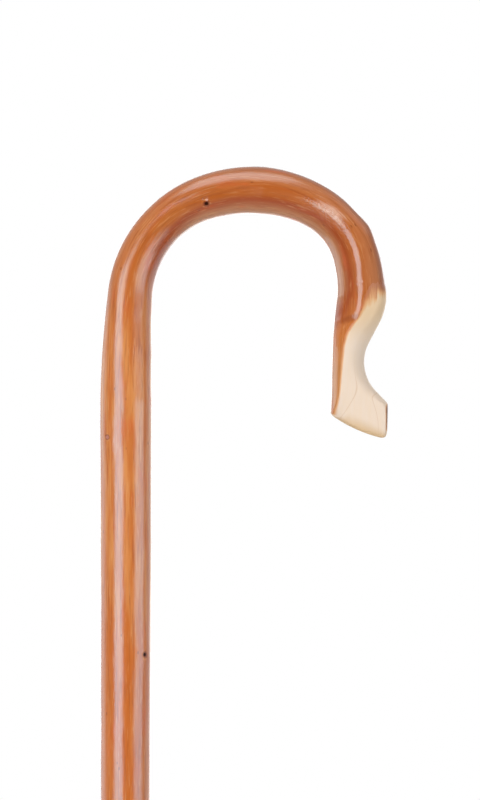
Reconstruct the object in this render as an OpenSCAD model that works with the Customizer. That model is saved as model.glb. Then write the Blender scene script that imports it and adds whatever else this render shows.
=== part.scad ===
// Shepherd's neck crook: a one-piece steam-bent chestnut stick with a carved nose,
// shod with a spiked metal ferrule that stands in a pull-off rubber foot.
// The origin is the centre of the foot's ground face. The shaft rises along +Z and bends towards +X.

/* [Stick] */
// Height from the ground to the top of the bend
overall_height = 1220; // [1000:5:1500]
// Shaft diameter at hand height, below the swelling
hand_d = 25.2; // [24:0.1:28]
// Length over which the shaft swells up to the bend
swell_length = 100; // [40:5:200]
// Diameter of the swelling where the bend springs from the shaft
swell_d = 26.2; // [24:0.1:30]

/* [Bend] */
// Radius of the slow curve that springs from the shaft
spring_radius = 635; // [500:5:800]
// Degrees turned by the spring
spring_turn = 5; // [3:0.5:8]
// Diameter at the top of the spring
neck_d = 23.1; // [20:0.1:26]
// Radius of the bend's first shoulder
shoulder_radius = 58.5; // [50:0.5:70]
// Degrees turned by the shoulder
shoulder_turn = 63; // [55:0.5:70]
// Diameter of the shoulder, the thinnest part of the stick
shoulder_d = 21.6; // [18:0.1:26]
// Radius of the crown over the mouth
crown_radius = 69.5; // [60:0.5:85]
// Degrees turned by the crown
crown_turn = 55; // [45:0.5:62]
// Diameter of the crown
crown_d = 24.2; // [20:0.1:28]
// Radius of the tight bend after the crown
brow_radius = 40.5; // [34:0.5:50]
// Degrees turned by the brow
brow_turn = 42.5; // [36:0.5:48]
// Diameter of the brow
brow_d = 22.1; // [20:0.1:26]
// Radius of the bend that turns the leg down
leg_radius = 85.5; // [70:0.5:100]
// Degrees turned above the leg
leg_turn = 15.5; // [10:0.5:18]
// Diameter at the top of the leg
leg_d = 23.5; // [20:0.1:26]
// Height of the growth bump on the outside of the brow
knuckle_height = 0.9; // [0:0.1:2]

/* [Nose] */
// Straight length of the leg down to the end of the nose
leg_length = 68.5; // [64:0.5:90]
// Diameter of the leg where the carving starts
nose_root_d = 26.2; // [24:0.1:29]
// Diameter of the swelling that the nose is carved from
nose_d = 30; // [27:0.1:33]
// Radius of the thumb bite on the outside of the nose
bite_radius = 21.5; // [18:0.5:26]
// Height of the middle of the bite above the end of the nose
bite_height = 36.5; // [34:0.5:42]
// Distance of the bite's floor outside the leg's centre line
bite_floor = 2; // [-1:0.5:4]
// Slope of the cut that leads down into the bite
lead_in = 27; // [20:1:35]
// Slope of the cut that leads out to the tip
lead_out = 45; // [35:1:55]
// Thickness between the carved cheeks at the bite
cheek_thickness = 20; // [16:0.5:23]
// Lean of each cheek towards the end of the nose
cheek_pinch = 5.5; // [2:0.5:8]
// Lean of each cheek towards the outside of the nose
cheek_wedge = 10; // [4:0.5:14]
// Radius of the scoop where each cheek runs out into the bark
runout_radius = 50; // [30:1:80]
// Slope of the end of the nose
heel_slope = 20; // [12:1:28]
// Radius of the crowned end of the nose
heel_radius = 36; // [30:1:60]
// Radius of the nose's lowest corner
tip_radius = 4; // [2:0.5:6]
// Depth of the flat on the outermost face of the tip
tip_flat = 0.2; // [0.1:0.1:1]

/* [Ferrule] */
// Bore of the collar round the turned end of the stick
collar_bore = 20; // [16:0.5:22]
// Wall of the collar
collar_wall = 1.5; // [1:0.1:2.5]
// Length of the collar
collar_length = 48; // [42:1:70]
// Thickness of the collar's end plate
plate_thickness = 2.5; // [1.5:0.1:4]
// Radius of the rolled bead round the collar's top
bead_radius = 1; // [0.5:0.1:1.5]
// Chamfer round the collar's lower end
collar_chamfer = 0.8; // [0.3:0.1:1.2]
// Drop from the collar's top to its pins
pin_drop = 10; // [6:0.5:14]
// Diameter of a pin's shank
pin_d = 1.6; // [1:0.1:2.4]
// Length of a pin's shank
pin_length = 7; // [4:0.5:8]
// Diameter of a pin's domed head
pin_head_d = 4; // [3:0.1:5]
// Height of a pin's head above the collar
pin_head_height = 0.9; // [0.5:0.1:1.4]
// Diameter of the spike's shank
shank_d = 6; // [4:0.5:8]
// Length of the shank in the stick's end grain
shank_length = 26; // [15:1:32]
// Size across the flats of the spike's hexagon
hex_af = 10; // [9:0.5:11]
// Height of the hexagon
hex_height = 3.5; // [2:0.5:5]
// Length of the spike's point
point_length = 13.5; // [8:0.5:16]
// Diameter at the root of the point
point_d = 9; // [7:0.5:9]
// Radius of the blunted tip
spike_tip_radius = 0.8; // [0.4:0.1:1.2]

/* [Rubber foot] */
// Diameter of the foot on the ground
foot_d = 36; // [32:0.5:44]
// Height of the foot's straight base
foot_base_height = 7; // [4:0.5:9]
// Radius of the sweep from the base up to the sleeve
foot_sweep_radius = 18; // [12:1:22]
// Wall of the sleeve round the collar
sleeve_wall = 2.9; // [2:0.1:4]
// Depth of the socket that grips the collar
socket_depth = 26; // [20:1:28]
// Number of grip ribs round the sleeve
rib_count = 3; // [1:1:4]
// Spacing of the ribs
rib_pitch = 6; // [4:0.5:7]
// Radius of a rib
rib_radius = 1; // [0.5:0.1:1.5]
// Rubber between the spike's pocket and the ground
floor_thickness = 9; // [7:0.5:14]
// Diameter of the spike's pocket
pocket_d = 13; // [12.8:0.1:14]
// Depth of the spike's pocket
pocket_depth = 19; // [19:0.5:24]
// Number of grip rings in the tread
tread_count = 2; // [1:1:3]
// Width of a tread groove
tread_width = 2; // [1:0.1:2.5]
// Depth of a tread groove
tread_depth = 1.6; // [0.5:0.1:3]
// Radius of the foot's moulded edges
foot_edge_radius = 1.2; // [0.5:0.1:1.4]
// Diameter of the moulded-in washer
washer_d = 26; // [24.5:0.5:27]
// Thickness of the washer
washer_thickness = 1.6; // [1:0.1:3]

/* [Fits] */
// Gap all round a glued or driven fit
glue_gap = 0.05; // [0.02:0.01:0.2]
// Gap all round the push fit of the rubber foot
push_gap = 0.1; // [0.05:0.01:0.2]

/* [Hidden] */

// Sides of the stick, steps round the cuts of the nose, and the length that carries a cut clear of a face
stick_sides = 40;
bite_steps = 12;
spare = 1;
$fn = 64;

// Levels of the foot and ferrule above the ground
washer_z = floor_thickness + pocket_depth;
collar_z = washer_z + washer_thickness;
foot_top_z = collar_z + socket_depth;
collar_top_z = collar_z + collar_length;
tenon_z = collar_z + plate_thickness;
pin_z = collar_top_z - pin_drop;
shank_top_z = tenon_z + shank_length;

// Radii of the foot and ferrule
collar_r = collar_bore / 2 + collar_wall;
tenon_r = collar_bore / 2 - glue_gap;
socket_r = collar_r + push_gap;
sleeve_r = socket_r + sleeve_wall;
foot_r = foot_d / 2;
washer_r = washer_d / 2;

// The spine leaves the collar and runs up the shaft, round the bend and down the leg.
// Each stretch is its length and the degrees that it turns towards +X.
function arc_length(radius, turn) = radius * turn * PI / 180;
rise_to_crown = spring_radius * sin(spring_turn)
    + shoulder_radius * (sin(spring_turn + shoulder_turn) - sin(spring_turn))
    + crown_radius * (1 - sin(spring_turn + shoulder_turn));
shaft_length = overall_height - crown_d / 2 - rise_to_crown - collar_top_z;
stretches = [
    [shaft_length, 0],
    [arc_length(spring_radius, spring_turn), spring_turn],
    [arc_length(shoulder_radius, shoulder_turn), shoulder_turn],
    [arc_length(crown_radius, crown_turn), crown_turn],
    [arc_length(brow_radius, brow_turn), brow_turn],
    [arc_length(leg_radius, leg_turn), leg_turn],
    [leg_length, 0],
];
last_stretch = len(stretches) - 1;

// A pose on the spine is x, z and the heading in degrees from straight up
function moved(pose, run, turn) =
    turn == 0
    ? [pose[0] + run * sin(pose[2]), pose[1] + run * cos(pose[2]), pose[2]]
    : let (radius = run / (turn * PI / 180), heading = pose[2] + turn)
      [pose[0] + radius * (cos(pose[2]) - cos(heading)),
       pose[1] + radius * (sin(heading) - sin(pose[2])),
       heading];
function start_pose(i) =
    i == 0 ? [0, collar_top_z, 0] : moved(start_pose(i - 1), stretches[i - 1][0], stretches[i - 1][1]);
function start_run(i) = i == 0 ? 0 : start_run(i - 1) + stretches[i - 1][0];

// Diameter of the stick along the spine: place on a stretch, then diameter
function along(i, share) = start_run(i) + share * stretches[i][0];
function mix(from, to, share) = from + (to - from) * share;
girths = [
    [along(0, 0), 2 * collar_r],
    [along(1, 0) - swell_length, hand_d],
    [along(1, 0) - swell_length / 3, mix(hand_d, swell_d, 0.5)],
    [along(1, 0), swell_d],
    [along(1, 0.5), mix(swell_d, neck_d, 0.4)],
    [along(2, 0), neck_d],
    [along(2, 0.65), shoulder_d],
    [along(3, 0), mix(shoulder_d, crown_d, 0.3)],
    [along(3, 0.5), crown_d],
    [along(4, 0), mix(crown_d, brow_d, 0.85)],
    [along(4, 0.35), brow_d],
    [along(5, 0), leg_d],
    [along(5, 0.5), mix(leg_d, nose_root_d, 0.3)],
    [along(6, 0), nose_root_d],
    [along(6, 0.85), nose_d],
    [along(6, 1) + nose_d, nose_d],
];
knuckle_run = along(4, 0.65);
knuckle_spread = 9;

// A ring of points round the spine, with the knuckle raised on its outer side
function bark_ring(pose, run) =
    let (
        radius = lookup(run, girths) / 2,
        raised = knuckle_height * exp(-pow((run - knuckle_run) / knuckle_spread, 2))
    )
    [for (k = [0 : stick_sides - 1])
        let (
            angle = 360 * k / stick_sides,
            reach = radius + raised * pow(max(0, -cos(angle)), 2),
            across = reach * cos(angle)
        )
        [pose[0] + across * cos(pose[2]), reach * sin(angle), pose[1] - across * sin(pose[2])]];

// Rings from the foot up the shaft and its swelling, round each bend and past the end of the nose
function ring_at(i, share) =
    bark_ring(moved(start_pose(i), share * stretches[i][0], share * stretches[i][1]), along(i, share));
swell_share = 1 - swell_length / shaft_length;
shaft_shares = [-collar_length / shaft_length, 0, swell_share, mix(swell_share, 1, 2 / 3)];
ring_counts = [len(shaft_shares), 6, 14, 12, 10, 5, 7];
bark_rings = concat(
    [for (share = shaft_shares) ring_at(0, share)],
    [for (i = [1 : last_stretch], k = [0 : ring_counts[i] - 1]) ring_at(i, k / ring_counts[i])],
    [for (share = [1, 1 + nose_d / leg_length]) ring_at(last_stretch, share)]
);

// Skin over rings of one even count, closed by a flat cap at each end that joins opposite points
module loft(rings) {
    sides = len(rings[0]);
    last = len(rings) - 1;
    walls = [for (r = [0 : last - 1], k = [0 : sides - 1], half = [0, 1])
        let (a = r * sides + k, b = r * sides + (k + 1) % sides)
        half == 0 ? [a, b, b + sides] : [a, b + sides, a + sides]];
    cap = [for (k = [0 : sides / 2 - 2], half = [0, 1])
        half == 0 ? [k, k + 1, sides - 1 - k] : [k + 1, sides - 2 - k, sides - 1 - k]];
    foot_cap = [for (f = cap) [f[2], f[1], f[0]]];
    end_cap = [for (f = cap) [for (k = f) last * sides + k]];
    polyhedron(points = [for (ring = rings, p = ring) p], faces = concat(walls, foot_cap, end_cap));
}

// Frame at the end of the nose: z up the leg, x out from the mouth
nose_pose = moved(start_pose(last_stretch), leg_length, 0);
module at_nose() {
    translate([nose_pose[0], 0, nose_pose[1]])
        rotate([0, nose_pose[2] - 180, 0])
            children();
}

// The bite's route up the nose: straight in from the tip, round the thumb hollow and straight out.
// Each point is x, z and the degrees that the route leans outwards.
bite_round = nose_d / 2 + tip_flat;
bite_centre = [bite_floor + bite_radius, bite_height];
bite_reach = bite_radius - spare;
function bite_point(lean, past) = [
    bite_centre[0] - bite_radius * cos(lean) + past * sin(lean),
    bite_centre[1] + bite_radius * sin(lean) + past * cos(lean),
    lean];
bite_route = concat(
    [bite_point(-lead_out, -nose_d)],
    [for (k = [0 : bite_steps]) bite_point(k * (lead_in + lead_out) / bite_steps - lead_out, 0)],
    [bite_point(lead_in, nose_d * 1.5)]
);

// Section of the cutter: a hollow that leaves the nose's edge round, and a flat back
function bite_angle(k) = 180 * k / bite_steps - 90;
bite_section = concat(
    [for (k = [0 : bite_steps]) bite_round * [cos(bite_angle(k)) - 1, sin(bite_angle(k))]],
    [for (k = [bite_steps : -1 : 0]) [bite_reach, bite_round * sin(bite_angle(k))]]
);
module bite_cut() {
    loft([for (p = bite_route) [for (q = bite_section)
        [p[0] + q[0] * cos(p[2]), q[1], p[1] - q[0] * sin(p[2])]]]);
}

// One flat cheek, with a scoop at its top that runs out into the bark
runout_z = bite_height + bite_radius / 3;
runout_turn = acos(1 - nose_d / 3 / runout_radius);
module cheek_cut() {
    rotate([0, 0, -cheek_wedge])
        translate([-nose_d, 0, 0])
            rotate([90, 0, 90])
                linear_extrude(2 * nose_d)
                    polygon(concat(
                        [[nose_d, -nose_d]],
                        [[cheek_thickness / 2 - (runout_z + nose_d) * tan(cheek_pinch), -nose_d]],
                        [for (k = [0 : bite_steps]) let (turn = k * runout_turn / bite_steps)
                            [cheek_thickness / 2 + runout_radius * (1 - cos(turn)),
                             runout_z + runout_radius * sin(turn)]],
                        [[nose_d, runout_z + runout_radius * sin(runout_turn)]]
                    ));
}

// The crowned, sloping end with its rounded lowest corner
module heel_cut() {
    difference() {
        translate([-nose_d, -nose_d, -2 * nose_d])
            cube([2 * nose_d, 2 * nose_d, 3 * nose_d]);
        rotate([90, 0, 0])
            linear_extrude(3 * nose_d, center = true)
                offset(r = tip_radius)
                    offset(delta = -tip_radius)
                        intersection() {
                            translate(heel_radius * [sin(heel_slope), cos(heel_slope)])
                                circle(heel_radius);
                            translate([-2 * nose_d, -nose_d])
                                square([2.5 * nose_d - tip_flat, 3 * nose_d]);
                        }
    }
}

// What the lathe takes off the foot of the stick to leave the tenon
module tenon_cut() {
    difference() {
        translate([0, 0, collar_z - spare])
            cylinder(r = 2 * collar_r, h = collar_length + spare);
        translate([0, 0, tenon_z])
            cylinder(r = tenon_r, h = collar_length);
    }
}

module stick() {
    color("peru")
        difference() {
            loft(bark_rings);
            tenon_cut();
            at_nose() {
                bite_cut();
                cheek_cut();
                mirror([0, 1, 0]) cheek_cut();
                heel_cut();
            }
            translate([0, 0, tenon_z - spare])
                cylinder(d = shank_d + 2 * glue_gap, h = shank_length + 2 * spare);
            pin_holes();
        }
}

// Two pins on opposite sides of the collar, along Y
module at_pins() {
    for (side = [0, 180])
        rotate([0, 0, side])
            translate([0, -collar_r, pin_z])
                rotate([-90, 0, 0])
                    children();
}
module pin_holes() {
    at_pins()
        translate([0, 0, -spare])
            cylinder(d = pin_d + 2 * glue_gap, h = pin_length + spare + glue_gap);
}

module ferrule_collar() {
    color("darkgoldenrod")
        difference() {
            rotate_extrude()
                difference() {
                    union() {
                        translate([0, collar_z])
                            polygon([
                                [0, 0],
                                [collar_r - collar_chamfer, 0],
                                [collar_r, collar_chamfer],
                                [collar_r, collar_length],
                                [0, collar_length]
                            ]);
                        translate([collar_r, collar_top_z - bead_radius])
                            circle(bead_radius);
                    }
                    translate([0, tenon_z])
                        square([collar_bore / 2, collar_length]);
                    translate([0, collar_z - spare])
                        square([shank_d / 2 + glue_gap, plate_thickness + 2 * spare]);
                }
            pin_holes();
        }
}

// A pin's head is a low dome that beds on the round of the collar
module collar_pins() {
    dome_radius = (pow(pin_head_d / 2, 2) + pow(pin_head_height, 2)) / (2 * pin_head_height);
    color("gold")
        at_pins() {
            cylinder(d = pin_d, h = pin_length);
            intersection() {
                translate([0, 0, dome_radius - pin_head_height])
                    sphere(dome_radius);
                translate([0, 0, -pin_head_height])
                    cylinder(d = pin_head_d, h = pin_head_height);
            }
        }
}

module spike() {
    color("dimgray") {
        translate([0, 0, collar_z])
            cylinder(d = shank_d, h = shank_top_z - collar_z);
        translate([0, 0, collar_z - hex_height])
            cylinder(d = hex_af / cos(30), h = hex_height, $fn = 6);
        translate([0, 0, collar_z - hex_height - point_length + spike_tip_radius])
            cylinder(d1 = 2 * spike_tip_radius, d2 = point_d, h = point_length - spike_tip_radius);
        translate([0, 0, collar_z - hex_height - point_length + spike_tip_radius])
            sphere(spike_tip_radius);
    }
}

module rubber_foot() {
    color("darkslategray")
        rotate_extrude()
            difference() {
                union() {
                    foot_outline();
                    for (k = [1 : rib_count])
                        translate([sleeve_r, foot_top_z - k * rib_pitch])
                            circle(rib_radius);
                }
                translate([0, collar_z])
                    square([socket_r, socket_depth + spare]);
                translate([0, washer_z])
                    square([washer_r + glue_gap, washer_thickness]);
                translate([0, floor_thickness])
                    square([pocket_d / 2, pocket_depth + spare]);
                for (k = [1 : tread_count])
                    translate([k * foot_r / (tread_count + 1) - tread_width / 2, -spare])
                        square([tread_width, tread_depth + spare]);
            }
}

// Half outline of the foot: straight base, hollow sweep and sleeve, with eased edges
module foot_outline() {
    sweep_height = sqrt(pow(foot_sweep_radius, 2) - pow(foot_sweep_radius - (foot_r - sleeve_r), 2));
    difference() {
        union() {
            square([foot_r - foot_edge_radius, foot_base_height]);
            translate([0, foot_edge_radius])
                square([foot_r, foot_base_height - foot_edge_radius]);
            translate([foot_r - foot_edge_radius, foot_edge_radius])
                circle(foot_edge_radius);
            translate([0, foot_base_height])
                square([foot_r, sweep_height]);
            square([sleeve_r, foot_top_z - foot_edge_radius]);
            square([sleeve_r - foot_edge_radius, foot_top_z]);
            translate([sleeve_r - foot_edge_radius, foot_top_z - foot_edge_radius])
                circle(foot_edge_radius);
        }
        translate([sleeve_r + foot_sweep_radius, foot_base_height + sweep_height])
            circle(foot_sweep_radius);
    }
}

module foot_washer() {
    color("silver")
        rotate_extrude()
            translate([pocket_d / 2, washer_z])
                square([washer_r - pocket_d / 2, washer_thickness]);
}

stick();
ferrule_collar();
collar_pins();
spike();
rubber_foot();
foot_washer();
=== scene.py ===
import math

import bmesh
import bpy
import numpy as np
from mathutils import Matrix, Vector


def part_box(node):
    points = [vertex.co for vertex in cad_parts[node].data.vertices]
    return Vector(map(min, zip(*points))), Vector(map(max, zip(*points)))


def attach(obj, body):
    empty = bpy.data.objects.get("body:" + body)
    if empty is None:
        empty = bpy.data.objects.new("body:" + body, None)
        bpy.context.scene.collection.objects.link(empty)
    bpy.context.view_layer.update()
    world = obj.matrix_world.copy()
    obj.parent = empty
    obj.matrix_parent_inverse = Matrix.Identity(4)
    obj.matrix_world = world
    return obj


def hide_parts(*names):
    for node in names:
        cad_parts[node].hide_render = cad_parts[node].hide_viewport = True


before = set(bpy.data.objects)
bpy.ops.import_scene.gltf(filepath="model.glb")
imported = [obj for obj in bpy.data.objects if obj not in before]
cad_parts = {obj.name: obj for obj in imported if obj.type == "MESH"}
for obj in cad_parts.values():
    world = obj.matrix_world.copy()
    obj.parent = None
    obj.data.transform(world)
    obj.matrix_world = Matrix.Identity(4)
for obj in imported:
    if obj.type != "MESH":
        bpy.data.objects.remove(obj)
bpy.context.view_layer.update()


# The stick
# One length of coppiced chestnut with its bark on, steamed and bent round a former into a neck crook.
# Its end is carved through the bark into a pale nose, its foot is turned to a tenon, and it is varnished.

MM = 0.001
foot_end, crown_top = (corner.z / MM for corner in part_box("stick"))
collar_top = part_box("ferrule_collar")[1].z / MM
tenon_radius = 9.95
shank_hole, shank_depth = 3.05, 27.0

# Bends of the spine from the shaft to the nose: radius in millimetres, degrees turned towards the mouth
bends = ((635, 5), (58.5, 63), (69.5, 55), (40.5, 42.5), (85.5, 15.5))
crown_diameter = 24.2
leg_length = 68.5
bend_lengths = [radius * math.radians(turn) for radius, turn in bends]
headings = np.radians(np.cumsum([0] + [turn for _, turn in bends]))

# How far the bends rise from the shaft to the crown, which leaves the shaft's length
rise = sum(
    radius * (math.sin(min(end, math.pi / 2)) - math.sin(start))
    for (radius, _), start, end in zip(bends, headings, headings[1:])
    if start < math.pi / 2
)
shaft_length = crown_top - crown_diameter / 2 - rise - collar_top
joints_run = np.cumsum([shaft_length] + bend_lengths)
nose_end = joints_run[-1] + leg_length

# The spine in steps much finer than its rings: run along it, then heading, x and z at that run
spine_step = 0.1
spine_run = np.arange(-collar_top, nose_end + 20, spine_step)
spine_heading = np.interp(spine_run, joints_run, headings)
middle_heading = np.interp(spine_run + spine_step / 2, joints_run, headings)
spine_x = np.concatenate(([0], np.cumsum(np.sin(middle_heading))[:-1])) * spine_step
spine_z = np.concatenate(([0], np.cumsum(np.cos(middle_heading))[:-1])) * spine_step


def on_bend(bend, share):
    """Run along the spine at a share of the length of one of the bends."""
    return joints_run[bend] + share * bend_lengths[bend]


# Girth of the stick along the spine: run, then diameter
girth_runs, girth_diameters = zip(
    (0, 23), (shaft_length - 100, 25.2), (shaft_length - 33, 25.7), (on_bend(0, 0), 26.2),
    (on_bend(0, 0.5), 25), (on_bend(1, 0), 23.1), (on_bend(1, 0.65), 21.6), (on_bend(2, 0), 22.4),
    (on_bend(2, 0.5), 24.2), (on_bend(3, 0), 22.4), (on_bend(3, 0.35), 22.1), (on_bend(4, 0), 23.5),
    (on_bend(4, 0.5), 24.3), (nose_end - leg_length, 26.2), (nose_end - 0.15 * leg_length, 30),
)

# How much fuller than its girth the stick is on the side of the mouth: run, then millimetres
fuller_runs, fuller = zip(
    (840, 0), (920, 0.6), (1045, 0.6), (1062, 0), (on_bend(1, 0.85), 0), (on_bend(2, 0.15), 0.6),
    (on_bend(2, 0.5), 0.2), (on_bend(2, 0.9), -0.3), (on_bend(3, 0.3), 0), (on_bend(4, 0.1), -0.4),
    (on_bend(4, 0.9), -0.45), (nose_end - 60, 0.35), (nose_end - 49, 0.75), (nose_end - 36, 0.55),
    (nose_end - 20, 0),
)

# Uneven growth: the runs between which it shows, what it adds, the height and lengths of its slow waves
grown_runs = (5, 45, nose_end - 90, nose_end - 60)
growth, wave_height = 0.25, 0.08
long_wave, middle_wave, short_wave, twist = 51, 23, 9.5, 140

# A grown stick isn't round: how far its front leans towards the mouth, as a share of its radius, by run
lean_runs = (850, 950, shaft_length, on_bend(1, 0.15), on_bend(1, 0.8), on_bend(2, 0.5), on_bend(3, 0),
             on_bend(3, 0.7), on_bend(4, 0.5), nose_end - 58, nose_end - 44)
leans = (-0.04, 0.0, 0.0, -0.24, -0.32, -0.08, -0.3, -0.3, -0.18, -0.18, 0.0)

# Knots where side shoots were trimmed: run, degrees round from the inside of the bend, height and spread of
# the swelling, depth of the pit. A knot with a shallow pit has healed over
knots = (
    (1142.6, -71, 1.1, 8.5, 1.0), (1001.4, -132.5, 0.5, 6.0, 0.3), (888.6, -39, 0.45, 6.0, 0.7),
    (1086, 118, 0.6, 6.0, 0.6), (957, 96, 0.5, 6.0, 0.6), (742, 170, 0.7, 7.0, 0.8),
    (596, -20, 0.5, 6.0, 0.6), (418, 84, 0.6, 6.0, 0.7), (263, -122, 0.5, 6.0, 0.6),
    (121, 35, 0.4, 5.0, 0.5),
)
swelling_stretch, pit_stretch, pit_radius = 1.6, 1.3, 0.95
healed_pit, healed_scale = 0.4, (0.92, 1.3)

# What the bending left on the bark: a flat outside the crown, a flat and a knuckle outside the brow (run,
# height, spread), a ridge down the front of the leg with a crease at its foot, and wrinkles on the brow
flat_run, flat_depth, flat_spread = on_bend(2, 0.4), 0.3, 35
knuckles = ((on_bend(3, 0.29), -0.25, 8.0), (on_bend(3, 0.66), 0.9, 4.5))
ridge_runs = (on_bend(2, 0.8), on_bend(3, 0.3), nose_end - 70, nose_end - 54)
ridge_heights = (0, 0.7, 0.75, 0)
ridge_angle, ridge_spread = math.radians(-80), (0.28, 0.5)
crease_run, crease_angle, crease_depth = nose_end - 59, math.radians(-60), 0.5
crease_slant, crease_width, crease_reach = 3, 2.0, 0.5
wrinkle_run, wrinkle_angle = on_bend(3, 0.1), math.radians(-98)
wrinkle_length, wrinkle_reach = 14, 0.38

# The carving, in millimetres: u is out from the mouth, v through the thickness, w up from the nose's end.
# A round bite lies between two slopes. Its floor is a saddle, and its brow is eased, both by height w
bite_radius, bite_floor, bite_height = 21.5, 2.1, 37.1
lead_in, lead_out = math.radians(27), math.radians(45)
bite_saddle, bite_brow = ((40, 52, 68), (7.0, 7.5, 16.0)), ((38.75, 50), (1.0, 4.0))

# Two flat cheeks taper like a wedge, and run out into the bark over a shallow shelf
cheek_half, cheek_pinch, cheek_edge = 9.6, math.radians(3.2), 1.2
cheek_wedge, runout_wedge = math.radians(10), math.radians(28)
runout_height, runout_top, runout_rise, runout_curve = 45.0, 76.0, 4.4, 1.3
shelf_height, shelf_depth, shelf_spread = 64.0, 0.9, 6.0

# The heel is crowned, its corners on the side of the mouth are pared, and the tip is blunt
heel_slope, heel_radius, heel_lift = math.radians(22), 76.0, 1.1
pared_height, pared_share, pared_reach = 22.0, 0.030, 13
tip_reach, tip_lean, tip_height, tip_edge, end_rounding = 16.0, 0.04, 15, 5.0, 1.8


def bell(off, spread):
    """1 in the middle of a swelling or dent, fading away past its spread."""
    return np.exp(-((off / spread) ** 2))


def in_crease(run, angle):
    """Share of the crease's depth at a point of the bark."""
    off_crease = angle - crease_angle
    slanted = run - crease_run - crease_slant * off_crease
    return bell(slanted, crease_width) * bell(off_crease, crease_reach)


def round_from(knot_angle, angle):
    """Radians from a knot to an angle of the stick, the short way round."""
    return (angle - math.radians(knot_angle) + math.pi) % (2 * math.pi) - math.pi


def bark_radius(run, angle):
    """Radius of the bark, with the slow unevenness of a grown stick and a swelling at each knot."""
    radius = np.interp(run, girth_runs, girth_diameters) / 2
    wave = np.sin(run / middle_wave + 1.3 * np.sin(angle + run / twist))
    wave += np.sin(run / long_wave - 2 * angle)
    wave += np.sin(run / short_wave + 2 * np.sin(angle)) * 0.5
    grown = np.interp(run, grown_runs, (0, 1, 1, 0))
    outside = np.maximum(-np.cos(angle), 0)
    flattened = flat_depth * outside * bell(run - flat_run, flat_spread)
    radius = radius + grown * (growth - flattened - wave_height * wave)
    radius = radius - crease_depth * in_crease(run, angle)
    radius = radius + np.interp(run, fuller_runs, fuller) * np.maximum(np.cos(angle), 0) ** 2
    for knuckle_run, height, spread in knuckles:
        radius = radius + height * outside**2 * bell(run - knuckle_run, spread)
    off_ridge = angle - ridge_angle
    ridge = bell(off_ridge, np.where(off_ridge > 0, *ridge_spread))
    radius = radius + ridge * np.interp(run, ridge_runs, ridge_heights)
    for knot_run, knot_angle, swelling, spread, pit in knots:
        around, along = round_from(knot_angle, angle) * radius, run - knot_run
        radius = radius + swelling * bell(around, spread) * bell(along, spread * swelling_stretch)
        radius = radius - pit * bell(np.hypot(around, along / pit_stretch), pit_radius)
    return radius


def off_bark(across, through, run):
    """Distance outside the bark of a point of the straight stick, below zero under it."""
    lean = np.interp(run, lean_runs, leans)
    level = across * np.hypot(1, lean) + lean * through
    return np.hypot(level, through) - bark_radius(run, np.arctan2(through, level))


def eased_max(a, b, ease):
    """The larger of two distances, with the edge where they cross rounded over."""
    overlap = np.maximum(ease - np.abs(a - b), 0) / ease
    return np.maximum(a, b) + overlap**2 * ease / 4


def heel_skin(u, w):
    """Distance outside the crowned end of the nose, below zero in the wood."""
    under_heel = np.minimum(w - heel_lift - heel_radius * math.cos(heel_slope), 0)
    return np.hypot(u - heel_radius * math.sin(heel_slope), under_heel) - heel_radius


def nose_skin(u, v, w):
    """Distance outside the sides of the carved nose and outside its end, below zero in the wood."""
    bark = off_bark(-u, v, nose_end - w)
    bite_u, bite_w = u - bite_floor - bite_radius, w - bite_height
    into_bite = bite_radius - np.hypot(bite_u, bite_w)
    above = bite_u * math.sin(lead_in) + bite_w * math.cos(lead_in) > 0
    below = bite_u * math.sin(lead_out) - bite_w * math.cos(lead_out) > 0
    into_top = bite_u * math.cos(lead_in) - bite_w * math.sin(lead_in) + bite_radius
    into_foot = bite_u * math.cos(lead_out) + bite_w * math.sin(lead_out) + bite_radius
    into_bite = np.where(above, into_top, np.where(below, into_foot, into_bite))
    saddle = np.interp(w, *bite_saddle)
    bite = (into_bite + v**2 / (2 * saddle)) / np.hypot(1, v / saddle)
    climb = np.maximum(w - runout_height, 0) / (runout_top - runout_height)
    half = cheek_half + np.minimum(w - runout_height, 0) * math.tan(cheek_pinch)
    half = half + runout_rise * climb**runout_curve + shelf_depth * bell(w - shelf_height, shelf_spread)
    pared = np.maximum(pared_height - w, 0) * np.clip(-u / pared_reach, 0, 1)
    half = half - pared_share * pared**2
    wedge = cheek_wedge + (runout_wedge - cheek_wedge) * np.minimum(climb, 1)
    cheek = np.abs(v) * np.cos(wedge) + u * np.sin(wedge) - half
    sides = eased_max(eased_max(bark, bite, np.interp(w, *bite_brow)), cheek, cheek_edge)
    tip = u - tip_reach - tip_lean * (w - tip_height)
    return sides, eased_max(heel_skin(u, w), tip, tip_edge)


# Rings of the straight stick: the gap between them up to each run, and the smaller one near a knot.
# Those of the nose tilt towards its heel, and the last ones close over it
stick_sides = 136
nose_top, heel_ring, heel_rings = 78.0, 9.0, 36
ring_gaps = ((720, 10.0), (shaft_length - 5, 2.2), (nose_end - nose_top, 1.15), (nose_end, 0.55))
near_knot, knot_gap = 5, 0.7
tilt_height = 45


def ring_gap(run):
    """Gap from a ring at some run to the next."""
    if any(abs(run - knot[0]) < near_knot for knot in knots):
        return knot_gap
    return next(gap for end, gap in ring_gaps if run < end)


runs = [0.0]
while runs[-1] < nose_end - heel_ring:
    runs.append(runs[-1] + ring_gap(runs[-1]))
tenon_rings = (
    (0, shank_depth), (shank_hole, shank_depth), (shank_hole, 0), (tenon_radius, 0),
    (tenon_radius, collar_top - foot_end),
)
ring_count = len(tenon_rings) + len(runs) + heel_rings

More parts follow.
